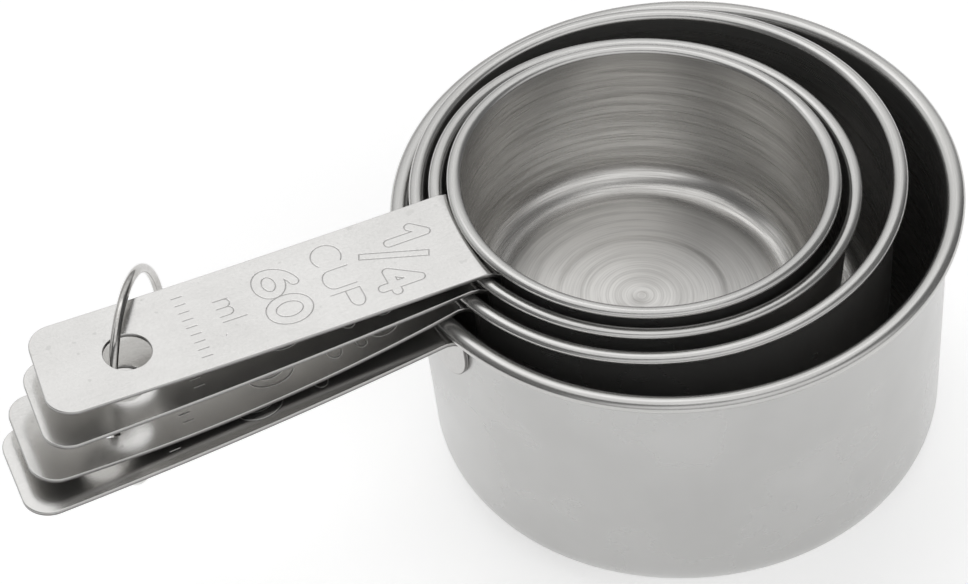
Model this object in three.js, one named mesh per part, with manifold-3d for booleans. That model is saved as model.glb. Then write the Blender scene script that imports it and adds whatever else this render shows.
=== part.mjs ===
// A nested set of four stainless steel measuring cups held on one wire ring.
// Millimetres, +Z up. The origin is the centre of the largest cup's underside, and
// the handles point along -X. Each cup is a spun bowl with a rolled rim and a strap
// handle spot-welded under that rim. The handle of a smaller cup passes over the
// rolled rims of the larger ones, so the smaller bowls hang in the nest.
import * as THREE from "three";
import { mergeVertices } from "three/addons/utils/BufferGeometryUtils.js";
import Module from "manifold-3d";

const wasm = await Module();
wasm.setup();

// Sheet, clearances and facets
const BOWL_SHEET = 0.6;
const WELD_GAP = 0.3; // keeps the welded tab and its bowl as two closed solids
const ROUND_SEGMENTS = 48;
const CORNER_STEPS = 4;
const BEAD_STEPS = 7;
const DEG = Math.PI / 180;

// The four cups, largest first. rimRadius is the rolled rim's outer radius, bead the
// rim roll's half height, depth the distance from the roll's centre plane to the
// underside. at is the rim centre, turn the handle's angle from -X about +Z, and
// lift the angle by which the handle side stands higher than the far side. reach is
// the handle's length from the rim's outer edge, slope how fast it falls away there, and
// bow its upward bend: it rises by bow times the square of the distance from that edge.
const ONE_CUP_DEPTH = 47.45;
const CUPS = [
  {
    name: "one_cup",
    rimRadius: 44.5,
    bead: 1.1,
    depth: ONE_CUP_DEPTH,
    corner: 7.6,
    at: [0, 0, ONE_CUP_DEPTH],
    turn: 0,
    lift: 0,
    reach: 68.0,
    slope: 0.105,
    bow: 0.0008,
  },
  {
    name: "half_cup",
    rimRadius: 38.6,
    bead: 0.8,
    depth: 31.05,
    corner: 7.0,
    at: [-2.1, 2.1, 50.85],
    turn: -0.6,
    lift: 0,
    reach: 69.1,
    slope: 0.21,
    bow: 0.0022,
  },
  {
    name: "third_cup",
    rimRadius: 33.5,
    bead: 0.7,
    depth: 27.9,
    corner: 6.4,
    at: [-4.39, 1.86, 51.5],
    turn: -1.25,
    lift: 3.6,
    reach: 68.5,
    slope: 0.1325,
    bow: 0.00059,
  },
  {
    name: "quarter_cup",
    rimRadius: 30.4,
    bead: 0.7,
    depth: 25.85,
    corner: 6.0,
    at: [-5.04, 0.76, 54.35],
    turn: -3.2,
    lift: 3.4,
    reach: 69.15,
    slope: 0.083,
    bow: 0.00035,
  },
];
const WALL_TAPER = 0.06; // radius lost per millimetre of depth
const WALL_CLEAR = 0.16; // between the wall's outer face and the inside of the rim roll
const ROLL_SHOULDER = 0.8; // height of the roll's inner shoulder, in roll half heights
const SHOULDER_WIDTH = 0.35; // and its distance out from the wall's inner face

// Strap handle
const STRAP_WIDTH = 19;
const STRAP_SHEET = 0.7;
const RIM_GAP = 0.3; // kept between the strap and the rim roll above it
const STRAP_END_CORNER = 4.3;
const STRAP_END_SKEW = 2.4; // the free end is cut askew by this much across the strap
const STRAP_STEPS = 14;
const ROOT_INSET = 0.15; // the strap dips under the rim this far inside its outer edge
const ROOT_DROP = 0.75; // the strap's top at its root, in roll half heights below centre
const ROOT_CLEAR = 0.1; // and this much lower again
const BEND_INSET = 0.2; // the underside's corners lie this far out from the top's
const TAB_LAP = 2; // how far the strap runs in past the wall before it is trimmed
const HOLE_RADIUS = 3.75;
const HOLE_FROM_END = 14.2;
const HOLE_ASIDE = -0.8; // the hole sits this far off the strap's middle line
const HOLE_FACETS = 20;
const TAB_DEPTH = 12; // welded tab, below the strap
const TAB_CORNER = 7.5;
const TAB_TOP_GAP = 0.1; // the tab stops this far below the strap's top face
const CORNER_FACETS = 6;
const TRIM_LOW = -30; // heights that trimming solids reach, past every strap
const TRIM_HIGH = 10;

// Hanging ring: one turn of round wire
const RING_RADIUS = 16.3;
const RING_WIRE = 0.75;
const RING_GAP = 0.5; // between the wire's butted ends
const RING_CENTRE = [-86.26, 12.46, 41.08];
const RING_AXIS_TURN = -35.3; // the ring axis, about +Z from +X
const RING_AXIS_RISE = 4.2; // and above the horizontal
const RING_SIDES = 8;
const RING_STEPS = 56;

const steel = (color, roughness) =>
  new THREE.MeshStandardMaterial({ color, roughness, metalness: 1 });
const bowlSteel = steel(0xc9c9c7, 0.3);
const strapSteel = steel(0xd2d2d0, 0.36);
const wireSteel = steel(0xc6c2bd, 0.2);

// Solids for cutting and joining
function solidOf(geometry) {
  const bare = geometry.clone();
  bare.deleteAttribute("normal");
  bare.deleteAttribute("uv");
  const merged = mergeVertices(bare, 1e-4);
  return new wasm.Manifold(
    new wasm.Mesh({
      numProp: 3,
      vertProperties: merged.attributes.position.array,
      triVerts: new Uint32Array(merged.index.array),
    }),
  );
}

function geometryOf(solid) {
  const mesh = solid.getMesh();
  const geometry = new THREE.BufferGeometry();
  geometry.setAttribute("position", new THREE.BufferAttribute(mesh.vertProperties, 3));
  geometry.setIndex(new THREE.BufferAttribute(mesh.triVerts, 1));
  geometry.computeVertexNormals();
  return geometry;
}

// Points on an arc in a profile, ends included.
function arc(x, y, radiusX, radiusY, from, to, steps) {
  const points = [];
  for (let i = 0; i <= steps; i++) {
    const angle = from + ((to - from) * i) / steps;
    points.push(
      new THREE.Vector2(x + radiusX * Math.cos(angle), y + radiusY * Math.sin(angle)),
    );
  }
  return points;
}

// A profile of (radius, height) turned about +Z.
function turned(profile, segments) {
  return new THREE.LatheGeometry(profile, segments).rotateX(Math.PI / 2);
}

// The wall's outer radius at a height below the rim roll's centre plane.
function wallRadius(cup, height) {
  return cup.rimRadius - 2 * cup.bead - WALL_CLEAR + WALL_TAPER * height;
}

// Spun bowl: flat base, round corner, tapered wall and a rim rolled outwards. Its
// frame has the origin at the centre of the rim roll.
function bowlGeometry(cup) {
  const floor = -cup.depth;
  const outerFoot = wallRadius(cup, floor + cup.corner);
  const innerFoot = outerFoot - BOWL_SHEET;
  const innerCorner = cup.corner - BOWL_SHEET;
  const mouth = wallRadius(cup, 0) - BOWL_SHEET;
  const rollCentre = cup.rimRadius - cup.bead;
  const profile = [
    new THREE.Vector2(0, floor),
    ...arc(
      outerFoot - cup.corner,
      floor + cup.corner,
      cup.corner,
      cup.corner,
      -Math.PI / 2,
      0,
      CORNER_STEPS,
    ),
    new THREE.Vector2(wallRadius(cup, -cup.bead), -cup.bead),
    ...arc(rollCentre, 0, cup.bead, cup.bead, -Math.PI / 2, Math.PI / 2, BEAD_STEPS),
    new THREE.Vector2(mouth + SHOULDER_WIDTH * cup.bead, ROLL_SHOULDER * cup.bead),
    new THREE.Vector2(mouth, 0),
    ...arc(
      innerFoot - innerCorner,
      floor + cup.corner,
      innerCorner,
      innerCorner,
      0,
      -Math.PI / 2,
      CORNER_STEPS,
    ),
    new THREE.Vector2(0, floor + BOWL_SHEET),
  ];
  return turned(profile, ROUND_SEGMENTS);
}

// Drop of a strap's top face at a distance out from its root.
function strapDrop(cup, distance) {
  return cup.slope * distance - cup.bow * distance * distance;
}

// The strap's plan: square at the rim's centre, with a skewed, round-cornered free end.
function strapPlan(end) {
  const half = STRAP_WIDTH / 2;
  const skew = Math.atan(STRAP_END_SKEW / STRAP_WIDTH);
  const cornerY = half - STRAP_END_CORNER;
  const cornerX = (y) => -end + (STRAP_END_CORNER + y * Math.sin(skew)) / Math.cos(skew);
  const plan = new THREE.Shape();
  plan.moveTo(0, -half);
  plan.lineTo(0, half);
  plan.lineTo(cornerX(cornerY), half);
  plan.absarc(
    cornerX(cornerY),
    cornerY,
    STRAP_END_CORNER,
    Math.PI / 2,
    Math.PI - skew,
    false,
  );
  plan.absarc(
    cornerX(-cornerY),
    -cornerY,
    STRAP_END_CORNER,
    Math.PI - skew,
    Math.PI * 1.5,
    false,
  );
  plan.closePath();
  return plan;
}

// A plan outline on the XY plane extruded through a height range.
function prism(shape, low, high) {
  const options = {
    depth: high - low,
    bevelEnabled: false,
    curveSegments: CORNER_FACETS,
  };
  return solidOf(new THREE.ExtrudeGeometry(shape, options).translate(0, 0, low));
}

// Strap handle in the frame of its own cup's rim: a bowed strap that turns down into
// a round-cornered tab, which follows the wall.
function handleGeometry(cup) {
  const half = STRAP_WIDTH / 2;
  const top = -ROOT_DROP * cup.bead - ROOT_CLEAR;
  const underRim = -cup.bead - RIM_GAP;
  const rollCentre = cup.rimRadius - cup.bead;
  const root = cup.rimRadius - ROOT_INSET;
  const length = cup.reach + ROOT_INSET;
  const span = length + STRAP_END_SKEW;
  const low = top - TAB_DEPTH;
  const inner = wallRadius(cup, low) - TAB_LAP;

  const side = new THREE.Shape();
  side.moveTo(-root, top);
  for (let i = 1; i <= STRAP_STEPS; i++) {
    const distance = (span * i) / STRAP_STEPS;
    side.lineTo(-root - distance, top - strapDrop(cup, distance));
  }
  for (let i = STRAP_STEPS; i >= 1; i--) {
    const distance = (span * i) / STRAP_STEPS;
    side.lineTo(-root - distance, top - strapDrop(cup, distance) - STRAP_SHEET);
  }
  side.lineTo(-root - BEND_INSET, top - STRAP_SHEET);
  side.lineTo(-rollCentre - BEND_INSET, underRim - STRAP_SHEET);
  side.lineTo(-inner, underRim - STRAP_SHEET);
  side.lineTo(-inner, underRim);
  side.lineTo(-rollCentre, underRim);
  side.closePath();
  const acrossOptions = { depth: STRAP_WIDTH, bevelEnabled: false };
  const across = new THREE.ExtrudeGeometry(side, acrossOptions)
    .translate(0, 0, -half)
    .rotateX(Math.PI / 2);

  const end = root + length;
  const holeSpan = TRIM_HIGH - TRIM_LOW;
  const hole = new THREE.CylinderGeometry(HOLE_RADIUS, HOLE_RADIUS, holeSpan, HOLE_FACETS)
    .rotateX(Math.PI / 2)
    .translate(
      -end + HOLE_FROM_END,
      HOLE_ASIDE,
      top - strapDrop(cup, length - HOLE_FROM_END),
    );

  const tabOutline = new THREE.Shape();
  tabOutline.moveTo(-half, top);
  tabOutline.lineTo(-half, low + TAB_CORNER);
  const cornerX = half - TAB_CORNER;
  const cornerY = low + TAB_CORNER;
  tabOutline.absarc(-cornerX, cornerY, TAB_CORNER, Math.PI, Math.PI * 1.5, false);
  tabOutline.absarc(cornerX, cornerY, TAB_CORNER, -Math.PI / 2, 0, false);
  tabOutline.lineTo(half, top);
  tabOutline.closePath();
  const tabCut = new THREE.ExtrudeGeometry(tabOutline, {
    depth: cup.rimRadius,
    bevelEnabled: false,
    curveSegments: CORNER_FACETS,
  })
    .rotateX(Math.PI / 2)
    .rotateZ(-Math.PI / 2);

  const tabTop = underRim - TAB_TOP_GAP;
  const gapAt = (height) => wallRadius(cup, height) + WELD_GAP;
  const shell = turned(
    [
      new THREE.Vector2(gapAt(low - 1), low - 1),
      new THREE.Vector2(gapAt(low - 1) + STRAP_SHEET, low - 1),
      new THREE.Vector2(gapAt(tabTop) + STRAP_SHEET, tabTop),
      new THREE.Vector2(gapAt(tabTop), tabTop),
      new THREE.Vector2(gapAt(low - 1), low - 1),
    ],
    2 * ROUND_SEGMENTS,
  );
  const wall = turned(
    [
      new THREE.Vector2(0, low - 1),
      new THREE.Vector2(gapAt(low - 1), low - 1),
      new THREE.Vector2(gapAt(TAB_LAP), TAB_LAP),
      new THREE.Vector2(0, TAB_LAP),
    ],
    2 * ROUND_SEGMENTS,
  );

  const strap = solidOf(across)
    .intersect(prism(strapPlan(end), TRIM_LOW, TRIM_HIGH))
    .subtract(solidOf(hole))
    .subtract(solidOf(wall));
  const tab = solidOf(shell).intersect(solidOf(tabCut));
  return geometryOf(strap.add(tab));
}

// A full turn of round wire with a small gap between its butted ends, facing down.
function ringGeometry() {
  const halfGap = RING_GAP / 2 / RING_RADIUS;
  const path = new THREE.Curve();
  path.getPoint = (t, target = new THREE.Vector3()) => {
    const angle = -Math.PI / 2 + halfGap + t * 2 * (Math.PI - halfGap);
    return target.set(0, RING_RADIUS * Math.cos(angle), RING_RADIUS * Math.sin(angle));
  };
  const section = new THREE.Shape();
  for (let i = 0; i < RING_SIDES; i++) {
    const angle = (2 * Math.PI * i) / RING_SIDES;
    const x = RING_WIRE * Math.cos(angle);
    const y = RING_WIRE * Math.sin(angle);
    if (i === 0) section.moveTo(x, y);
    else section.lineTo(x, y);
  }
  section.closePath();
  return new THREE.ExtrudeGeometry(section, { steps: RING_STEPS, extrudePath: path });
}

function named(name, geometry, material) {
  const mesh = new THREE.Mesh(geometry, material);
  mesh.name = name;
  return mesh;
}

const set = new THREE.Group();
for (const cup of CUPS) {
  const placed = new THREE.Group();
  placed.position.set(...cup.at);
  placed.rotation.set(0, cup.lift * DEG, cup.turn * DEG, "ZYX");
  placed.add(named("bowl_" + cup.name, bowlGeometry(cup), bowlSteel));
  placed.add(named("handle_" + cup.name, handleGeometry(cup), strapSteel));
  set.add(placed);
}
const ring = named("hanging_ring", ringGeometry(), wireSteel);
ring.position.set(...RING_CENTRE);
ring.rotation.set(0, -RING_AXIS_RISE * DEG, RING_AXIS_TURN * DEG, "ZYX");
set.add(ring);

export default set;
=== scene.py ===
"""Looks for the nested measuring cup set: four spun steel bowls with strap handles on one wire ring.

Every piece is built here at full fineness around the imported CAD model, in metres, and replaces its
plain CAD node. The bowls are turned profiles with a real rolled rim, the handles are bent sheet with
stamped capacity marks cut into the surface, and the ring is drawn wire.
"""

import math

import bpy
import numpy as np
from mathutils import Matrix, Vector
from mathutils.geometry import delaunay_2d_cdt


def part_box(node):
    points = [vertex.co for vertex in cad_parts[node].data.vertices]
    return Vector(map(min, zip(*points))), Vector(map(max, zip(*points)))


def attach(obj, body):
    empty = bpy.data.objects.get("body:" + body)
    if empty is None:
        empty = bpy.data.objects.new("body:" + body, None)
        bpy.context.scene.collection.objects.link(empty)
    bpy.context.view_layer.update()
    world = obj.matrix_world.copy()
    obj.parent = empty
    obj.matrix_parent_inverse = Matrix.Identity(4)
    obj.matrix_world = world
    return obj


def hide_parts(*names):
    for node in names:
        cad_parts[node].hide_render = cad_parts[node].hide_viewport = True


MM = 0.001
DEG = math.pi / 180

# The cups, largest first, in millimetres and degrees, as the CAD model has them. rim is the rolled
# rim's outer radius, bead the roll's half height, depth the distance from the roll's centre plane to
# the underside. at is the rim centre, turn the handle's angle about +Z, lift the handle side's rise,
# reach the handle's length past the rim, slope how fast it falls away there, and bow its upward
# bend: it rises by bow times the square of the distance from the rim.
ONE_CUP_DEPTH = 47.45
CUPS = {
    "one_cup": dict(
        rim=44.5, bead=1.1, depth=ONE_CUP_DEPTH, corner=7.6,
        at=(0, 0, ONE_CUP_DEPTH), turn=0, lift=0, reach=68.0, slope=0.105, bow=0.0008,
        fraction="1", millilitres="240",
    ),
    "half_cup": dict(
        rim=38.6, bead=0.8, depth=31.05, corner=7.0,
        at=(-2.1, 2.1, 50.85), turn=-0.6, lift=0, reach=69.1, slope=0.21, bow=0.0022,
        fraction="1/2", millilitres="120",
    ),
    "third_cup": dict(
        rim=33.5, bead=0.7, depth=27.9, corner=6.4,
        at=(-4.39, 1.86, 51.5), turn=-1.25, lift=3.6, reach=68.5, slope=0.1325, bow=0.00059,
        fraction="1/3", millilitres="80",
    ),
    "quarter_cup": dict(
        rim=30.4, bead=0.7, depth=25.85, corner=6.0,
        at=(-5.04, 0.76, 54.35), turn=-3.2, lift=3.4, reach=69.15, slope=0.083, bow=0.00035,
        fraction="1/4", millilitres="60",
    ),
}
WALL_TAPER = 0.06  # how much wider the wall gets for each unit of height
WALL_CLEAR = 0.16  # from the roll's inner side to the wall, level with the roll's centre
BOWL_SHEET = 0.6

# Bowl details, in millimetres
LATHE_SEGMENTS = 256
CORNER_STEPS = 14
BEAD_STEPS = 14
CURL_SHEET = 0.35  # thickness shown by the rim's curled edge
CURL_GAP = 0.26  # dark line between the curl and the wall
CURL_SHIFT = 0.15  # the roll's lower half is narrower by this much, on its inner side
DISC_SHARE = 0.58  # raised polished disc on the floor, as a share of the floor's radius
DISC_RISE = 0.1
DISC_RAMP = 1.2
DIMPLE_RADIUS = 1.5
DIMPLE_DEPTH = 0.05
DIMPLE_OUTER = 1.35  # where the dimple's slope starts, as a share of its radius
DIMPLE_SLOPE = 0.6  # how wide the slope is, as a share of its radius
UNDERSIDE = ((0, 0.25), (0.45, 0.2), (0.8, 0.03))  # (share of the flat bottom's radius, rise)

# Heights on the rolled rim, as shares of the roll's half height
WALL_TOP = -1.9
GROOVE_MOUTH = -0.9
GROOVE_LEVEL = -0.4
GROOVE_END = -0.35
CURL_EDGE = -0.72
CURL_CORNER = -0.86

# Strap handle, in millimetres
STRAP_WIDTH = 19
STRAP_SHEET = 0.7
ROOT_INSET = 0.15  # the strap's distances count from a root this far inside the rim's edge
ROOT_DROP = 0.75  # its top lies this many roll half heights below the roll's centre,
ROOT_CLEAR = 0.1  # and this much more
WELD_GAP = 0.3  # between the tab and the bowl's wall
END_CORNER = 4.3
END_SKEW = 2.4  # the free end is cut askew by this much across the strap
TAB_CORNER = 7.5
TAB_DEPTH = 12
HOLE_RADIUS = 3.75
HOLE_FROM_END = 14.2
HOLE_ASIDE = -0.8  # the hole sits this far off the strap's middle line
BEND_BASE = 1.0  # the bend's radius is this plus BEND_PER_BEAD times the roll's half height
BEND_PER_BEAD = 1.1
EDGE_ROUND = 0.18  # radius of the sheet's rounded edge
EDGE_STEPS = 4
OUTLINE_STEP = 0.9  # spacing of the points along the strap's sides
CORNER_POINTS = 14
HOLE_POINTS = 72
HOLE_SHARE = 0.985  # a triangle whose middle is within this share of the hole's radius is left out
COARSE_STEP = 1.3  # spacing of the surface points on the plain strap
BEND_STEP = 0.3  # on the bend
FINE_STEP = 0.1  # along the stamped grooves
FACE_MARGIN = 0.3  # how far they all keep from the rounded edge
PROBE = 0.02  # step for measuring how the surface slopes
ALONG = (PROBE, 0)
ACROSS = (0, PROBE)

# How much painted shade each part of the handle's surface gets, from none on bright steel (0) to full
# dark steel (1)
# painted shade in the stamped grooves
GROOVE_SHADE = 0.75
SHEARED_SHADE = 0.6  # painted shade on the upper part of the cut edge
BROKEN_SHADE = 1.1  # painted shade on the lower, downward-facing part of the cut edge
# painted shade on the welded tab, which faces the bright floor
TAB_SHADE = 0.36

# Stamped marks, in millimetres along the strap from its root (v) and across it (w)
GROOVE_HALF = 0.13
GROOVE_DEPTH = 0.05
GROOVE_MARGIN = 0.12
BOLD_HALF = 0.78  # from the middle of a bold stroke to its outline
MARKED_START = 2.5  # all marks lie between these two distances along the strap
MARKED_END = 46
MARK_FREE_SIDE = 0.5  # and keep at least this far from its sides
SLASH_START = (6.0, -1.2)
SLASH_END = (16.0, 2.6)
SLASH_HALF = 0.6
DASHES = 9
DASH_START = 43.5
DASH_END = 45.2
DASH_FIRST = 6.7
DASH_PITCH = 1.68

# Hanging ring, in millimetres and degrees
RING_RADIUS = 16.3
RING_WIRE = 0.75  # the wire's radius
RING_GAP = 0.5  # between the wire's ends
RING_CENTRE = (-86.26, 12.46, 41.08)
RING_AXIS_TURN = -35.3
RING_AXIS_RISE = 4.2
RING_STEPS = 220
RING_SIDES = 24
RING_END_ROUND = 0.12
RING_END_SHARE = 0.82  # the wire's cut ends are this thick, as a share of the wire

# Camera: angles in degrees, the lens and its sensor in millimetres, and in metres the distance and
# the aim's shift from the largest rim's centre
AZIMUTH = -22.6
ELEVATION = 45.77
ROLL = -4.49
LENS = 284.6
SENSOR = 36
DISTANCE = 1.1826
AIM_LEFT = 0.02987
AIM_DOWN = 0.0139

# Studio, in metres and watts. The tent's brightness runs from the first share to the second as the
# direction's height, or its distance from the plane y = 0, goes from the first value to the second.
FLOOR_HALF = 3.0
FLOOR_GLOW = 0.45
TENT_HEIGHTS = (0.0, 0.65)
TENT_HEIGHT_SHARES = (0.4, 1.0)
TENT_SIDES = (0.27, 0.6)
TENT_SIDE_SHARES = (0.15, 1.0)
KEY_PLACE = (0.1, 0.3, 1.6)
KEY_AIM = (-0.03, 0, 0.03)
KEY_SIZE = 1.5
KEY_POWER = 7

# Base colours, dark and light
SATIN_GREYS = ((0.48, 0.478, 0.47), (0.56, 0.558, 0.55))
# the turned inside's greys hold painted light: they are lighter than the satin outside's
TURNED_AND_PAINTED_LIGHT_GREYS = ((0.44, 0.43, 0.415), (0.84, 0.83, 0.81))
ROLLED_GREYS = ((0.42, 0.415, 0.405), (0.7, 0.695, 0.68))
SHEET_GREYS = ((0.62, 0.613, 0.6), (0.76, 0.753, 0.74))
PAINTED_SHADE_GREYS = ((0.16, 0.155, 0.15), (0.26, 0.255, 0.25))
WIRE_GREYS = ((0.38, 0.37, 0.355), (0.66, 0.65, 0.635))
FLOOR_GREYS = ((0.86, 0.86, 0.86), (0.88, 0.88, 0.88))


# ---------------------------------------------------------------- meshes


def make_object(name, points, faces, normals=None):
    """A smooth mesh object from points in metres, with its own normals where they are given."""
    mesh = bpy.data.meshes.new(name)
    mesh.from_pydata([tuple(p) for p in points], [], faces)
    mesh.validate()
    mesh.polygons.foreach_set("use_smooth", [True] * len(mesh.polygons))
    if normals is not None:
        mesh.normals_split_custom_set_from_vertices([tuple(n) for n in normals])
    mesh.update()
    obj = bpy.data.objects.new(name, mesh)
    bpy.context.scene.collection.objects.link(obj)
    return obj


def cup_matrix(cup):
    """The cup's own frame: origin at the rim's centre, handle along -X, axis along +Z."""
    place = Matrix.Translation(Vector(cup["at"]) * MM)
    turn = Matrix.Rotation(cup["turn"] * DEG, 4, "Z")
    lift = Matrix.Rotation(cup["lift"] * DEG, 4, "Y")
    return place @ turn @ lift


def arc(x, y, radius_x, radius_y, start, end, steps):
    """Points on an ellipse about (x, y), from one angle to the other in degrees."""
    angles = np.linspace(start * DEG, end * DEG, steps + 1)
    return [(x + radius_x * math.cos(a), y + radius_y * math.sin(a)) for a in angles]


def wall_radius(cup, height):
    """The outside wall's radius at a height above the roll's centre plane."""
    return cup["rim"] - 2 * cup["bead"] - WALL_CLEAR + WALL_TAPER * height


def smooth(t):
    """Eases from 0 to 1 as t goes from 0 to 1."""
    t = np.clip(t, 0, 1)
    return t * t * (3 - 2 * t)


def unit(vectors):
    return vectors / np.linalg.norm(vectors, axis=1)[:, None]


def change(function, points, step):
    """How much the function changes from one step before each point to one step past it."""
    return function(points + step) - function(points - step)


# ---------------------------------------------------------------- bowls


def floor_profile(cup, radius):
    """The inside floor from its edge to the axis: a soft raised disc with a centre dimple."""
    level = -cup["depth"] + BOWL_SHEET
    disc = DISC_SHARE * radius
    points = []
    for r in np.linspace(radius, disc + DISC_RAMP, 6)[:-1]:
        points.append((r, level))
    for r in np.linspace(disc + DISC_RAMP, disc, 8):
        points.append((r, level + DISC_RISE * smooth((disc + DISC_RAMP - r) / DISC_RAMP)))
    for r in np.linspace(disc, 2 * DIMPLE_RADIUS, 8)[1:]:
        points.append((r, level + DISC_RISE))
    for r in np.linspace(2 * DIMPLE_RADIUS, 0, 14)[1:]:
        dip = smooth((DIMPLE_OUTER * DIMPLE_RADIUS - r) / (DIMPLE_SLOPE * DIMPLE_RADIUS))
        points.append((r, level + DISC_RISE - DIMPLE_DEPTH * dip))
    return points


def bowl_profile(cup):
    """(radius, height) points in millimetres, from the underside's centre out, up, over and in.

    Also gives how many of them lie before the rolled rim, the inside wall and the inside floor.
    """
    floor = -cup["depth"]
    corner = cup["corner"]
    foot = wall_radius(cup, floor + corner)
    bead = cup["bead"]
    wall = wall_radius(cup, 0)
    mouth = wall - BOWL_SHEET
    roll_middle = (mouth + cup["rim"]) / 2
    roll_half = (cup["rim"] - mouth) / 2
    points = [(share * (foot - corner), floor + rise) for share, rise in UNDERSIDE]
    points += arc(foot - corner, floor + corner, corner, corner, -90, 0, CORNER_STEPS)
    for height in np.linspace(floor + corner, WALL_TOP * bead, 9)[1:]:
        points.append((wall_radius(cup, height), height))
    wall_count = len(points)
    # into the groove beside the curled edge, round the edge and over the top of the roll
    groove_mouth = GROOVE_MOUTH * bead
    groove_end = GROOVE_END * bead
    groove = wall_radius(cup, GROOVE_LEVEL * bead)
    curl_in = groove + CURL_GAP
    points += [
        (wall_radius(cup, groove_mouth), groove_mouth),
        (groove, groove_end),
        (curl_in, groove_end),
        (curl_in, CURL_EDGE * bead),
        (curl_in + 0.3 * CURL_SHEET, CURL_CORNER * bead),
    ]
    lower_half = roll_half - CURL_SHIFT
    points += arc(roll_middle + CURL_SHIFT, 0, lower_half, bead, -100, 0, BEAD_STEPS)
    points += arc(roll_middle, 0, roll_half, bead, 0, 180, 2 * BEAD_STEPS)[1:]
    rim_end = len(points)
    inner_corner = corner - BOWL_SHEET
    for height in np.linspace(0, floor + corner, 11)[1:-1]:
        points.append((wall_radius(cup, height) - BOWL_SHEET, height))
    inner_foot = foot - BOWL_SHEET
    points += arc(
        inner_foot - inner_corner, floor + corner, inner_corner, inner_corner, 0, -90, CORNER_STEPS
    )
    corner_end = len(points)
    points += floor_profile(cup, inner_foot - inner_corner)[1:]
    return points, wall_count, rim_end, corner_end


def lathe(name, profile, *before):
    """A closed body turned about +Z. The profile starts and ends on the axis.

    before holds the counts of profile points before the rim, the inside wall and the floor. The
    attribute "rim" is 1 on the rolled rim, "inside" past it, and "floor" on the inside floor.
    """
    angles = 2 * np.pi * np.arange(LATHE_SEGMENTS) / LATHE_SEGMENTS
    points = [(0, 0, profile[0][1] * MM)]
    for radius, height in profile[1:-1]:
        for a in angles:
            points.append((radius * MM * math.cos(a), radius * MM * math.sin(a), height * MM))
    points.append((0, 0, profile[-1][1] * MM))
    last = len(points) - 1
    faces = []
    rows = len(profile) - 2
    for j in range(LATHE_SEGMENTS):
        k = (j + 1) % LATHE_SEGMENTS
        faces.append((0, 1 + k, 1 + j))
        end = 1 + (rows - 1) * LATHE_SEGMENTS
        faces.append((last, end + j, end + k))
        for i in range(rows - 1):
            low = 1 + i * LATHE_SEGMENTS
            high = low + LATHE_SEGMENTS
            faces.append((low + j, low + k, high + k, high + j))
    body = make_object(name, points, faces)
    rim, wall, floor = (1 + (count - 1) * LATHE_SEGMENTS for count in before)
    zones = {"rim": (rim, wall), "inside": (wall, last + 1), "floor": (floor, last + 1)}
    for zone, (start, end) in zones.items():
        values = np.zeros(len(points))
        values[start:end] = 1
        body.data.attributes.new(zone, "FLOAT", "POINT").data.foreach_set("value", values)
    return body


def make_bowl(name, cup, material):
    bowl = lathe("spun_bowl_" + name, *bowl_profile(cup))
    bowl.matrix_world = cup_matrix(cup)
    bowl.data.materials.append(material)
    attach(bowl, name)
    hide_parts("bowl_" + name)
    return bowl


# ---------------------------------------------------------------- stamped marks


def stroke(*points):
    """A polyline as an array of points."""
    return np.array(points, float)


def curve(x, y, radius_x, radius_y, start, end, steps=20):
    """An arc as an array of points."""
    return np.array(arc(x, y, radius_x, radius_y, start, end, steps), float)


def glyph(character):
    """Skeleton strokes of a plain character in a box one unit high, and the box's width."""
    if character == "0":
        return [curve(0.33, 0.5, 0.33, 0.5, 0, 360, 40)], 0.66
    if character == "1":
        return [stroke((0, 0.68), (0.3, 1), (0.3, 0))], 0.3
    if character == "2":
        top = curve(0.32, 0.68, 0.32, 0.32, 165, -35)
        return [np.vstack([top, stroke((0, 0), (0.66, 0))])], 0.66
    if character == "3":
        top = curve(0.3, 0.74, 0.28, 0.26, 150, -90)
        low = curve(0.3, 0.25, 0.32, 0.25, 90, -150)
        return [np.vstack([top, low])], 0.64
    if character == "4":
        return [stroke((0.5, 0), (0.5, 1), (0, 0.3), (0.72, 0.3))], 0.72
    if character == "6":
        bowl = curve(0.33, 0.31, 0.33, 0.31, 0, 360, 32)
        stem = curve(0.66, 0.33, 0.66, 0.67, 180, 108, 12)
        return [bowl, stem], 0.66
    if character == "8":
        top = curve(0.32, 0.75, 0.26, 0.25, 0, 360, 28)
        low = curve(0.32, 0.26, 0.32, 0.26, 0, 360, 32)
        return [top, low], 0.64
    if character == "C":
        return [curve(0.4, 0.5, 0.4, 0.5, 50, 310, 28)], 0.72
    if character == "U":
        low = curve(0.33, 0.33, 0.33, 0.33, 180, 360, 16)
        return [np.vstack([stroke((0, 1)), low, stroke((0.66, 1))])], 0.66
    if character == "P":
        bulge = curve(0.34, 0.75, 0.27, 0.25, 90, -90, 14)
        return [np.vstack([stroke((0, 0), (0, 1)), bulge, stroke((0, 0.5))])], 0.61
    if character == "m":
        hump = curve(0.22, 0.4, 0.22, 0.22, 180, 0, 10)
        first = np.vstack([hump, stroke((0.44, 0))])
        return [stroke((0, 0), (0, 0.62)), first, first + (0.44, 0)], 0.88
    if character == "l":
        return [stroke((0, 0), (0, 1))], 0.0
    raise ValueError("no strokes for " + character)


def text_strokes(text, height, gap, middle, base, stretch=1.0):
    """Strokes of a line of text in (v, w): its tops point to the cup, and it reads towards -w."""
    strokes = []
    widths = [glyph(c)[1] * height * stretch for c in text]
    across = middle + (sum(widths) + gap * (len(text) - 1)) / 2
    for character, width in zip(text, widths):
        for line in glyph(character)[0]:
            v = base - line[:, 1] * height
            w = across - line[:, 0] * height * stretch
            strokes.append(np.stack([v, w], axis=1))
        across -= width + gap
    return strokes


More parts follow.
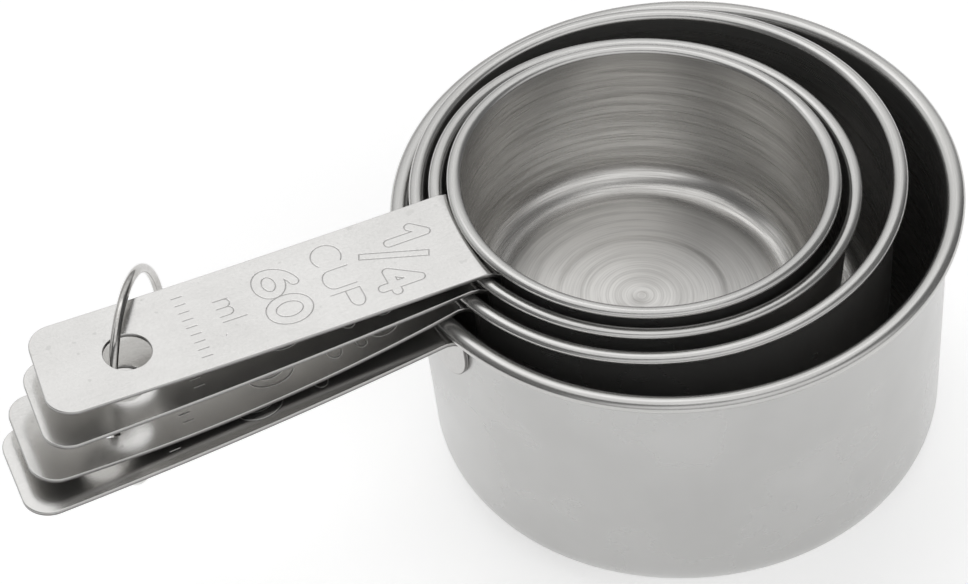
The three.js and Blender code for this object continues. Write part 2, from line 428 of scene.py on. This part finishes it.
def mark_strokes(cup):
    """Bold (outlined) and fine strokes of one handle's marks."""
    bold = []
    if cup["fraction"] == "1":
        bold += text_strokes("1", height=8.2, gap=0, middle=0.6, base=14.0)
    else:
        upper, lower = cup["fraction"].split("/")
        bold += text_strokes(upper, height=6.0, gap=0, middle=4.2, base=10.8)
        bold += text_strokes(lower, height=6.0, gap=0, middle=-4.4, base=15.1)
    gap, stretch = (1.5, 1.22) if len(cup["millilitres"]) == 2 else (1.6, 0.95)
    bold += text_strokes(
        cup["millilitres"], height=5.8, gap=gap, middle=0.2, base=32.4, stretch=stretch
    )
    fine = text_strokes("CUP", height=4.7, gap=1.05, middle=0.25, base=22.9, stretch=1.3)
    fine += text_strokes("ml", height=3.9, gap=1.2, middle=1.1, base=39.7)
    full_stop = stroke((40.1, -3.8), (40.2, -3.9))
    fine.append(full_stop)
    if cup["fraction"] != "1":
        fine.append(slash_outline())
    for dash in range(DASHES):
        w = DASH_FIRST - DASH_PITCH * dash
        fine.append(stroke((DASH_START, w), (DASH_END, w)))
    return bold, fine


def slash_outline():
    """The fraction's stroke, drawn as a narrow rectangle."""
    start = np.array(SLASH_START)
    end = np.array(SLASH_END)
    along = (end - start) / np.linalg.norm(end - start)
    side = np.array((-along[1], along[0])) * SLASH_HALF
    return stroke(start + side, end + side, end - side, start - side, start + side)


def distance_to(strokes, points):
    """Each point's distance to the nearest stroke."""
    best = np.full(len(points), 1e9)
    for line in strokes:
        for a, b in zip(line[:-1], line[1:]):
            along = b - a
            t = ((points - a) @ along) / max(along @ along, 1e-12)
            nearest = a + np.clip(t, 0, 1)[:, None] * along
            best = np.minimum(best, np.linalg.norm(points - nearest, axis=1))
    return best


def groove_offset(marks, points):
    """Distance from the middle of the nearest stamped groove."""
    bold, fine = marks
    outline = np.abs(distance_to(bold, points) - BOLD_HALF)
    return np.minimum(outline, distance_to(fine, points))


def groove_depth(marks, points):
    """How deep the stamped grooves are at each point."""
    t = np.clip(groove_offset(marks, points) / GROOVE_HALF, 0, 1)
    return GROOVE_DEPTH * 0.5 * (1 + np.cos(np.pi * t))


# ---------------------------------------------------------------- handles


class Strap:
    """The handle's sheet as a map from (v, w) to the top face, in the cup's frame, in millimetres.

    v is the distance along the strap from its root, w the distance across. Past the bend, v goes
    down the welded tab, whose sheet follows the round wall.
    """

    def __init__(self, cup):
        bead = cup["bead"]
        self.cup = cup
        self.top = -ROOT_DROP * bead - ROOT_CLEAR
        self.root = cup["rim"] - ROOT_INSET
        self.end = cup["reach"] + ROOT_INSET
        self.skew = math.atan(END_SKEW / STRAP_WIDTH)
        self.bend = BEND_BASE + BEND_PER_BEAD * bead
        face = wall_radius(cup, self.top - self.bend) + WELD_GAP
        self.start = face + self.bend - self.root
        self.bend_length = self.bend * math.pi / 2
        tab_length = TAB_DEPTH - self.bend
        self.low = self.start - self.bend_length - tab_length
        self.hole_centre = np.array((self.end - HOLE_FROM_END, HOLE_ASIDE))
        self.marks = mark_strokes(cup)

    def bent(self, v):
        """How far round the bend v is: 0 on the strap, 1 on the tab."""
        return np.clip((self.start - v) / self.bend_length, 0, 1)

    def path(self, v):
        """(radius, height) of the top face's middle line."""
        strap_v = np.maximum(v, self.start)
        radius = self.root + strap_v
        drop = self.cup["slope"] * strap_v - self.cup["bow"] * strap_v**2
        height = self.top - drop
        slope = math.atan(self.cup["slope"] - 2 * self.cup["bow"] * self.start)
        first = math.pi / 2 - slope
        angle = first + self.bent(v) * (math.pi / 2 + slope)
        radius = radius + self.bend * (np.cos(angle) - math.cos(first))
        height = height + self.bend * (np.sin(angle) - math.sin(first))
        down = np.maximum(self.start - self.bend_length - v, 0)
        return radius - WALL_TAPER * down, height - down

    def surface(self, points):
        """The top face's places for points in (v, w)."""
        v, w = points[:, 0], points[:, 1]
        radius, height = self.path(v)
        wrap = smooth(self.bent(v))
        sag = radius - np.sqrt(radius**2 - w**2)
        return np.stack([-radius + wrap * sag, w, height], axis=1)

    def frame(self, points):
        """Unit directions along v, along w and out of the top face."""
        along = unit(change(self.surface, points, ALONG))
        across = unit(change(self.surface, points, ACROSS))
        return along, across, unit(np.cross(across, along))

    def stamped(self, points):
        """Points on the top face with the grooves cut in, and their normals."""
        along, across, normal = self.frame(points)
        slope_v = change(self.depth, points, ALONG) / (2 * PROBE)
        slope_w = change(self.depth, points, ACROSS) / (2 * PROBE)
        tilted = unit(normal + along * slope_v[:, None] + across * slope_w[:, None])
        return self.surface(points) - normal * self.depth(points)[:, None], tilted

    def depth(self, points):
        """How deep the handle's marks are at each point."""
        return groove_depth(self.marks, points)

    def outline(self, inset):
        """The sheet's outline pulled in by inset, and the outward directions, in (v, w)."""
        points, outward = [], []
        half = STRAP_WIDTH / 2
        corners = self.corners()
        for index, (v, w, radius, first, last) in enumerate(corners):
            for angle in np.linspace(first, last, CORNER_POINTS):
                direction = np.array((math.cos(angle), math.sin(angle)))
                points.append(np.array((v, w)) + (radius - inset) * direction)
                outward.append(direction)
            if index in (0, 2):
                following = corners[index + 1][0]
                side = 1 if index == 0 else -1
                count = int(abs(following - v) / OUTLINE_STEP)
                for share in np.linspace(0, 1, count + 2)[1:-1]:
                    along = v + share * (following - v)
                    points.append(np.array((along, side * (half - inset))))
                    outward.append(np.array((0, side)))
        return np.array(points), np.array(outward)

    def corners(self):
        """Each corner's centre, radius and turn, anticlockwise from the free end's far corner."""
        w = STRAP_WIDTH / 2 - END_CORNER
        tab_w = STRAP_WIDTH / 2 - TAB_CORNER
        tab_v = self.low + TAB_CORNER
        quarter = math.pi / 2

        def end_v(across):
            lean = END_CORNER + across * math.sin(self.skew)
            return self.end - lean / math.cos(self.skew)

        return [
            (end_v(w), w, END_CORNER, self.skew, quarter),
            (tab_v, tab_w, TAB_CORNER, quarter, 2 * quarter),
            (tab_v, -tab_w, TAB_CORNER, 2 * quarter, 3 * quarter),
            (end_v(-w), -w, END_CORNER, 3 * quarter, 4 * quarter + self.skew),
        ]

    def hole(self, inset):
        """The hanging hole's edge moved into the sheet by inset, and the directions into the hole."""
        angles = -2 * np.pi * np.arange(HOLE_POINTS) / HOLE_POINTS
        direction = np.stack([np.cos(angles), np.sin(angles)], axis=1)
        return self.hole_centre + (HOLE_RADIUS + inset) * direction, -direction


def inside_points(strap, candidates, margin):
    """The candidates that lie inside the sheet's outline and outside its hole by the margin."""
    half = STRAP_WIDTH / 2
    v, w = candidates[:, 0], candidates[:, 1]
    keep = np.abs(w) < half - margin
    past_end = (v - strap.end) * math.cos(strap.skew) + w * math.sin(strap.skew)
    keep &= (past_end < -margin) & (v > strap.low + margin)
    for corner_v, corner_w, radius, first, last in strap.corners():
        side_v = math.copysign(1, math.cos((first + last) / 2))
        beyond = ((v - corner_v) * side_v > 0) & ((w - corner_w) * math.copysign(1, corner_w) > 0)
        keep &= ~(beyond & (np.hypot(v - corner_v, w - corner_w) > radius - margin))
    keep &= np.linalg.norm(candidates - strap.hole_centre, axis=1) > HOLE_RADIUS + margin
    return candidates[keep]


def grid(low_v, high_v, half_w, step):
    """Points in (v, w) in rows one step apart, every other row moved by half a step."""
    v = np.arange(low_v, high_v, step)
    w = np.arange(-half_w, half_w, step)
    mesh_v, mesh_w = np.meshgrid(v, w, indexing="ij")
    mesh_w = mesh_w + (np.arange(len(v)) % 2)[:, None] * step / 2
    return np.stack([mesh_v.ravel(), mesh_w.ravel()], axis=1)


def fill(border, hole, inside):
    """Triangles over the region between the border and the hole, through the inside points."""
    points = np.vstack([border, hole, inside])
    size = len(border)
    edges = [(i, (i + 1) % size) for i in range(size)]
    edges += [(size + i, size + (i + 1) % len(hole)) for i in range(len(hole))]
    centre = hole.mean(axis=0)
    hole_radius = np.linalg.norm(hole[0] - centre)
    made = delaunay_2d_cdt([Vector(p) for p in points], edges, [], 1, 1e-7)
    places, faces, origins = made[0], made[2], made[3]
    triangles = []
    for face in faces:
        # the triangles that fill the hole have their middles inside it
        middle = sum((Vector(places[i]) for i in face), Vector((0, 0))) / len(face)
        if (middle - Vector(centre)).length > hole_radius * HOLE_SHARE:
            triangles.append(tuple(origins[i][0] for i in face))
    return points, triangles


def face_points(strap):
    """Points inside the stamped top face and inside the plain bottom face, in (v, w)."""
    half = STRAP_WIDTH / 2
    coarse = grid(strap.low, strap.end, half, COARSE_STEP)
    bend_low = strap.start - strap.bend_length - BEND_STEP
    bend = grid(bend_low, strap.start + BEND_STEP, half, BEND_STEP)
    in_bend = (coarse[:, 0] > bend[:, 0].min()) & (coarse[:, 0] < bend[:, 0].max())
    coarse = coarse[~in_bend]
    fine = grid(MARKED_START, MARKED_END, half - MARK_FREE_SIDE, FINE_STEP)
    fine = fine[groove_offset(strap.marks, fine) < GROOVE_HALF + GROOVE_MARGIN]
    far = groove_offset(strap.marks, coarse) > GROOVE_HALF + 3 * GROOVE_MARGIN
    margin = EDGE_ROUND + FACE_MARGIN
    marked = inside_points(strap, np.vstack([coarse[far], bend, fine]), margin)
    plain = inside_points(strap, np.vstack([coarse, bend]), margin)
    return marked, plain


def edge_rows():
    """(angle, depth, painted shade) of the rounded edge's rows between the faces: sheared, then
    broken.
    """
    rows = []
    for step in range(1, EDGE_STEPS + 1):
        angle = step / EDGE_STEPS * math.pi / 2
        rows.append((angle, EDGE_ROUND * (1 - math.cos(angle)), SHEARED_SHADE * step / EDGE_STEPS))
    for step in range(EDGE_STEPS):
        angle = math.pi / 2 + step / EDGE_STEPS * math.pi / 2
        rows.append((angle, STRAP_SHEET - EDGE_ROUND * (1 + math.cos(angle)), BROKEN_SHADE))
    return rows


def make_handle(name, cup, material):
    """The strap's two faces, and the rounded edge that joins them round the outline and the hole."""
    strap = Strap(cup)
    marked, plain = face_points(strap)
    points, normals, shades, faces = [], [], [], []

    def add(places, directions, shade):
        first = sum(len(p) for p in points)
        points.append(places)
        normals.append(directions)
        shades.append(np.zeros(len(places)) + shade)
        return first

    def edge_row(ring_of, angle, depth, shade):
        inset = EDGE_ROUND * (1 - math.sin(angle))
        flat, outward = ring_of(inset)
        along, across, normal = strap.frame(flat)
        out = along * outward[:, :1] + across * outward[:, 1:]
        direction = normal * math.cos(angle) + out * math.sin(angle)
        return add(strap.surface(flat) - normal * depth, direction, shade), len(flat)

    border, hole = strap.outline(EDGE_ROUND)[0], strap.hole(EDGE_ROUND)[0]
    # top face
    flat, triangles = fill(border, hole, marked)
    places, directions = strap.stamped(flat)
    # painted shade in the stamped grooves, darkest where they are deepest
    painted_groove_shade = GROOVE_SHADE * strap.depth(flat) / GROOVE_DEPTH
    first_top = add(places, directions, painted_groove_shade)
    for a, b, c in triangles:
        faces.append((first_top + a, first_top + c, first_top + b))
    # bottom face
    flat, triangles = fill(border, hole, plain)
    normal = strap.frame(flat)[2]
    # painted shade on the welded tab, growing round the bend
    tab = TAB_SHADE * strap.bent(flat[:, 0])
    first_bottom = add(strap.surface(flat) - normal * STRAP_SHEET, -normal, tab)
    for a, b, c in triangles:
        faces.append((first_bottom + a, first_bottom + b, first_bottom + c))

    # edge, from the top face round to the bottom face, each row with its painted shade
    for ring_of, offset in ((strap.outline, 0), (strap.hole, len(border))):
        starts = [first_top + offset]
        for angle, depth, shade in edge_rows():
            start, size = edge_row(ring_of, angle, depth, shade)
            starts.append(start)
        starts.append(first_bottom + offset)
        for upper, lower in zip(starts[:-1], starts[1:]):
            for i in range(size):
                j = (i + 1) % size
                faces.append((upper + i, upper + j, lower + j, lower + i))

    place = np.array(cup_matrix(cup))
    placed = np.vstack(points) * MM @ place[:3, :3].T + place[:3, 3]
    handle = make_object(
        "strap_handle_" + name, placed, faces, np.vstack(normals) @ place[:3, :3].T
    )
    # the painted shade of each point, which darkens the satin steel's colour
    shade = handle.data.attributes.new("shade", "FLOAT", "POINT")
    shade.data.foreach_set("value", np.concatenate(shades))
    handle.data.materials.append(material)
    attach(handle, name)
    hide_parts("handle_" + name)
    return handle


# ---------------------------------------------------------------- ring


def make_ring(material):
    """The drawn wire ring: a small gap low down, between two slightly rounded ends."""
    half_gap = RING_GAP / 2 / RING_RADIUS
    angles = list(np.linspace(half_gap, 2 * math.pi - half_gap, RING_STEPS) - math.pi / 2)
    shrink = RING_END_ROUND / RING_RADIUS
    stations = [(angles[0], RING_END_SHARE), (angles[0] + shrink, 1.0)]
    stations += [(a, 1.0) for a in angles[2:-2]]
    stations += [(angles[-1] - shrink, 1.0), (angles[-1], RING_END_SHARE)]
    points, faces = [], []
    for angle, share in stations:
        for side in range(RING_SIDES):
            turn = 2 * math.pi * side / RING_SIDES
            radius = RING_RADIUS + RING_WIRE * share * math.cos(turn)
            x = RING_WIRE * share * math.sin(turn)
            points.append((x, radius * math.cos(angle), radius * math.sin(angle)))
    for i in range(len(stations) - 1):
        for j in range(RING_SIDES):
            k = (j + 1) % RING_SIDES
            low, high = i * RING_SIDES, (i + 1) * RING_SIDES
            faces.append((low + j, low + k, high + k, high + j))
    last = (len(stations) - 1) * RING_SIDES
    faces.append(tuple(reversed(range(RING_SIDES))))
    faces.append(tuple(last + j for j in range(RING_SIDES)))
    ring = make_object("wire_ring", np.array(points) * MM, faces)
    place = Matrix.Translation(Vector(RING_CENTRE) * MM)
    turn = Matrix.Rotation(RING_AXIS_TURN * DEG, 4, "Z")
    rise = Matrix.Rotation(-RING_AXIS_RISE * DEG, 4, "Y")
    ring.matrix_world = place @ turn @ rise
    ring.data.materials.append(material)
    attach(ring, "ring")
    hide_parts("hanging_ring")
    return ring


# ---------------------------------------------------------------- materials


class Nodes:
    """A material's node tree with short ways to add and join nodes."""

    def __init__(self, name):
        self.material = bpy.data.materials.new(name)
        self.material.use_nodes = True
        self.tree = self.material.node_tree
        self.shader = self.tree.nodes["Principled BSDF"]

    def add(self, kind, **values):
        node = self.tree.nodes.new(kind)
        for key, value in values.items():
            setattr(node, key, value)
        return node

    def join(self, source, target):
        self.tree.links.new(source, target)

    def math(self, operation, first, second=None):
        """The result of a sum on one or two values, each a number or another node's output."""
        node = self.add("ShaderNodeMath", operation=operation)
        for socket, value in zip(node.inputs, (first, second)):
            if value is None:
                continue
            if isinstance(value, (int, float)):
                socket.default_value = value
            else:
                self.join(value, socket)
        return node.outputs[0]

    def vector(self, *sources):
        node = self.add("ShaderNodeCombineXYZ")
        for source, target in zip(sources, node.inputs):
            self.join(source, target)
        return node.outputs[0]

    def weighted(self, *terms):
        """The sum of values times their weights, from (value, weight) pairs."""
        parts = [self.math("MULTIPLY", value, weight) for value, weight in terms]
        total = parts[0]
        for part in parts[1:]:
            total = self.math("ADD", total, part)
        return total

    def attribute(self, name):
        return self.add("ShaderNodeAttribute", attribute_name=name).outputs["Fac"]

    def position(self):
        return self.add("ShaderNodeTexCoord").outputs["Object"]

    def split(self, vector):
        """The vector's x, y and z."""
        node = self.add("ShaderNodeSeparateXYZ")
        self.join(vector, node.inputs[0])
        return node.outputs

    def noise(self, vector, scale, detail=2.0, roughness=0.5):
        node = self.add("ShaderNodeTexNoise")
        node.inputs["Scale"].default_value = scale
        node.inputs["Detail"].default_value = detail
        node.inputs["Roughness"].default_value = roughness
        self.join(vector, node.inputs["Vector"])
        return node.outputs["Fac"]

    def remap(self, value, old, new):
        """The value, kept within the old (low, high) and moved to the new (low, high)."""
        node = self.add("ShaderNodeMapRange")
        node.inputs["From Min"].default_value, node.inputs["From Max"].default_value = old
        node.inputs["To Min"].default_value, node.inputs["To Max"].default_value = new
        self.join(value, node.inputs["Value"])
        return node.outputs["Result"]

    def tint(self, factor, greys):
        """A colour from dark to light as the factor goes from 0 to 1."""
        dark, light = greys
        node = self.add("ShaderNodeMix", data_type="RGBA")
        node.inputs["A"].default_value = (*dark, 1)
        node.inputs["B"].default_value = (*light, 1)
        self.join(factor, node.inputs["Factor"])
        return node.outputs["Result"]

    def mix(self, factor, first, second):
        """The first colour where the factor is 0, the second where it is 1."""
        node = self.add("ShaderNodeMix", data_type="RGBA")
        for value, target in ((factor, "Factor"), (first, "A"), (second, "B")):
            self.join(value, node.inputs[target])
        return node.outputs["Result"]

    def bump(self, height, distance, strength):
        node = self.add("ShaderNodeBump")
        node.inputs["Strength"].default_value = strength
        node.inputs["Distance"].default_value = distance
        self.join(height, node.inputs["Height"])
        self.join(node.outputs["Normal"], self.shader.inputs["Normal"])


def spun_steel():
    """Turned stainless steel: even satin outside, a rolled rim, turned rings inside, with painted
    light: the inside is tinted lighter than the outside, the floor lighter still.
    """
    n = Nodes("spun_steel")
    position = n.position()
    x, y, z = n.split(position)
    radius = n.math("SQRT", n.math("ADD", n.math("MULTIPLY", x, x), n.math("MULTIPLY", y, y)))
    # rings follow the radius and height; the small shares of x and y let them change round the bowl
    east = n.math("MULTIPLY", x, 0.03)
    north = n.math("MULTIPLY", y, 0.03)
    rings = n.vector(n.math("ADD", radius, z), east, north)
    coarse = n.noise(rings, scale=1000, detail=3.0, roughness=0.6)
    fine = n.noise(rings, scale=4200, detail=2.0, roughness=0.6)
    cloud = n.noise(position, scale=45, detail=3.0, roughness=0.6)
    inside = n.attribute("inside")
    rim = n.attribute("rim")
    floor = n.attribute("floor")
    grain = n.weighted((coarse, 0.55), (fine, 0.45))
    turned = n.weighted((grain, 0.85), (cloud, 0.15))
    satin = n.weighted((cloud, 0.9), (grain, 0.1))
    # the floor's share is painted light: it makes the inside floor's colour lighter
    polish_and_painted_light = n.math("ADD", n.remap(turned, (0.37, 0.63), (0, 0.7)), n.math("MULTIPLY", floor, 0.45))

    satin_colour = n.tint(n.remap(satin, (0.2, 0.8), (0, 1)), SATIN_GREYS)
    # painted light: the turned inside gets lighter greys than the satin outside
    turned_and_painted_light_colour = n.tint(polish_and_painted_light, TURNED_AND_PAINTED_LIGHT_GREYS)
    rolled_colour = n.tint(grain, ROLLED_GREYS)
    colour = n.mix(rim, n.mix(inside, satin_colour, turned_and_painted_light_colour), rolled_colour)
    n.join(colour, n.shader.inputs["Base Color"])

    satin_gloss = n.remap(satin, (0.2, 0.8), (0.31, 0.24))
    turned_gloss = n.remap(polish_and_painted_light, (0, 1), (0.31, 0.16))
    turned_gloss = n.math("ADD", turned_gloss, n.math("MULTIPLY", floor, 0.22))
    gloss = n.math("MULTIPLY", n.math("SUBTRACT", turned_gloss, satin_gloss), inside)
    gloss = n.math("SUBTRACT", n.math("ADD", satin_gloss, gloss), n.math("MULTIPLY", rim, 0.03))
    n.join(gloss, n.shader.inputs["Roughness"])

    n.shader.inputs["Metallic"].default_value = 0.9
    n.shader.inputs["Anisotropic"].default_value = 0.4
    tangent = n.add("ShaderNodeTangent", direction_type="RADIAL", axis="Z")
    n.join(tangent.outputs[0], n.shader.inputs["Tangent"])
    n.bump(n.math("MULTIPLY", grain, inside), distance=0.00002, strength=0.5)
    return n.material


def satin_steel():
    """Tumbled sheet: soft even gloss, faint cloudiness, specks, and painted shade in the stamped
    lines, on the cut edges and on the welded tab.
    """
    n = Nodes("satin_steel")
    position = n.position()
    x, y, z = n.split(position)
    cloud = n.noise(position, scale=60, detail=4.0, roughness=0.6)
    grain = n.noise(position, scale=2600, detail=2.0, roughness=0.6)
    stretched = n.vector(n.math("MULTIPLY", x, 0.06), y, z)
    drawn = n.noise(stretched, scale=1500, detail=2.0, roughness=0.6)
    specks = n.remap(n.noise(position, scale=620, detail=1.0, roughness=0.4), (0.72, 0.8), (0, 1))
    tone = n.weighted((cloud, 0.6), (grain, 0.3), (drawn, 0.1), (specks, -0.3))
    # painted shade: the shade attribute darkens the stamped grooves, the cut edge and the welded tab
    # towards dark steel
    shade = n.attribute("shade")
    steel = n.tint(n.remap(tone, (0.3, 0.65), (0, 1)), SHEET_GREYS)
    painted_shade = n.tint(grain, PAINTED_SHADE_GREYS)
    n.join(n.mix(shade, steel, painted_shade), n.shader.inputs["Base Color"])
    gloss = n.remap(tone, (0.3, 0.7), (0.27, 0.19))
    n.join(n.math("ADD", gloss, n.math("MULTIPLY", shade, 0.2)), n.shader.inputs["Roughness"])
    n.shader.inputs["Metallic"].default_value = 1.0
    n.bump(n.math("ADD", grain, drawn), distance=0.000006, strength=0.5)
    return n.material


def drawn_wire():
    """Bright drawn wire with fine grain and dull patches."""
    n = Nodes("drawn_wire")
    position = n.position()
    patches = n.noise(position, scale=160, detail=3.0, roughness=0.6)
    grain = n.noise(position, scale=2400, detail=2.0, roughness=0.6)
    tone = n.weighted((patches, 0.6), (grain, 0.4))
    colour = n.tint(n.remap(tone, (0.3, 0.7), (0, 1)), WIRE_GREYS)
    n.join(colour, n.shader.inputs["Base Color"])
    n.join(n.remap(tone, (0.3, 0.7), (0.15, 0.08)), n.shader.inputs["Roughness"])
    n.shader.inputs["Metallic"].default_value = 1.0
    n.bump(grain, distance=0.000006, strength=0.5)
    return n.material


def pale_floor():
    """A matt, almost even white that glows a little."""
    n = Nodes("pale_floor")
    cloud = n.noise(n.position(), scale=3)
    n.join(n.tint(cloud, FLOOR_GREYS), n.shader.inputs["Base Color"])
    n.shader.inputs["Roughness"].default_value = 1.0
    n.shader.inputs["Emission Color"].default_value = (1, 1, 1, 1)
    n.shader.inputs["Emission Strength"].default_value = FLOOR_GLOW
    return n.material


# ---------------------------------------------------------------- stage


def view_directions():
    """The camera's right, up and backward directions."""
    azimuth, elevation, roll = AZIMUTH * DEG, ELEVATION * DEG, ROLL * DEG
    back = Vector(
        (
            math.sin(azimuth) * math.cos(elevation),
            -math.cos(azimuth) * math.cos(elevation),
            math.sin(elevation),
        )
    )
    level = Vector((math.cos(azimuth), math.sin(azimuth), 0))
    up = back.cross(level)
    right = math.cos(roll) * level + math.sin(roll) * up
    return right, -math.sin(roll) * level + math.cos(roll) * up, back


def make_camera():
    right, up, back = view_directions()
    low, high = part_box("bowl_one_cup")
    bead = CUPS["one_cup"]["bead"] * MM
    rim = Vector(((low.x + high.x) / 2, (low.y + high.y) / 2, high.z - bead))
    aim = rim - AIM_LEFT * right - AIM_DOWN * up
    data = bpy.data.cameras.new("camera")
    data.lens = LENS
    data.sensor_width = SENSOR
    data.clip_end = 20
    camera = bpy.data.objects.new("camera", data)
    turned = Matrix((right, up, back)).transposed().to_4x4()
    camera.matrix_world = Matrix.Translation(aim + DISTANCE * back) @ turned
    bpy.context.scene.collection.objects.link(camera)
    bpy.context.scene.camera = camera


def make_floor():
    size = FLOOR_HALF
    points = [(-size, -size, 0), (size, -size, 0), (size, size, 0), (-size, size, 0)]
    floor = make_object("floor", points, [(0, 1, 2, 3)])
    floor.data.materials.append(pale_floor())


def make_tent():
    """A white studio tent all round, dimmer near the floor and at its -X and +X sides."""
    world = bpy.data.worlds.new("studio")
    world.use_nodes = True
    tree = world.node_tree
    background = tree.nodes["Background"]
    split = tree.nodes.new("ShaderNodeSeparateXYZ")
    tree.links.new(tree.nodes.new("ShaderNodeTexCoord").outputs["Generated"], split.inputs[0])
    sideways = tree.nodes.new("ShaderNodeMath")
    sideways.operation = "ABSOLUTE"
    tree.links.new(split.outputs["Y"], sideways.inputs[0])
    product = tree.nodes.new("ShaderNodeMath")
    product.operation = "MULTIPLY"
    ramps = (
        (split.outputs["Z"], TENT_HEIGHTS, TENT_HEIGHT_SHARES),
        (sideways.outputs[0], TENT_SIDES, TENT_SIDE_SHARES),
    )
    for target, (source, (low, high), (low_share, high_share)) in zip(product.inputs, ramps):
        ramp = tree.nodes.new("ShaderNodeMapRange")
        ramp.interpolation_type = "SMOOTHSTEP"
        ramp.inputs["From Min"].default_value = low
        ramp.inputs["From Max"].default_value = high
        ramp.inputs["To Min"].default_value = low_share
        ramp.inputs["To Max"].default_value = high_share
        tree.links.new(source, ramp.inputs["Value"])
        tree.links.new(ramp.outputs["Result"], target)
    tree.links.new(product.outputs[0], background.inputs["Strength"])
    background.inputs["Color"].default_value = (1.0, 1.0, 1.0, 1)
    bpy.context.scene.world = world


def make_key_light():
    """A soft box above the object."""
    data = bpy.data.lights.new("key", "AREA")
    data.shape = "RECTANGLE"
    data.size = KEY_SIZE
    data.size_y = KEY_SIZE
    data.energy = KEY_POWER
    light = bpy.data.objects.new("key", data)
    light.location = KEY_PLACE
    aim = Vector(KEY_AIM) - Vector(KEY_PLACE)
    light.rotation_euler = aim.to_track_quat("-Z", "Y").to_euler()
    bpy.context.scene.collection.objects.link(light)


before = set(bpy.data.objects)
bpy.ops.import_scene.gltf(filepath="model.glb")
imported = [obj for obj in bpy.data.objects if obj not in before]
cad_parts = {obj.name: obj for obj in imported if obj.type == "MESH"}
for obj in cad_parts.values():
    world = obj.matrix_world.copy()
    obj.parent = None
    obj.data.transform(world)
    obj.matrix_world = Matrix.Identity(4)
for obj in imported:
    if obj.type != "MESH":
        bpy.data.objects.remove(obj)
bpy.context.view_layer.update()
make_camera()
bowl_steel = spun_steel()
strap_steel = satin_steel()
for cup_name, cup_values in CUPS.items():
    make_bowl(cup_name, cup_values, bowl_steel)
    make_handle(cup_name, cup_values, strap_steel)
make_ring(drawn_wire())
make_floor()
make_tent()
make_key_light()
bpy.context.scene.view_settings.view_transform = "Standard"
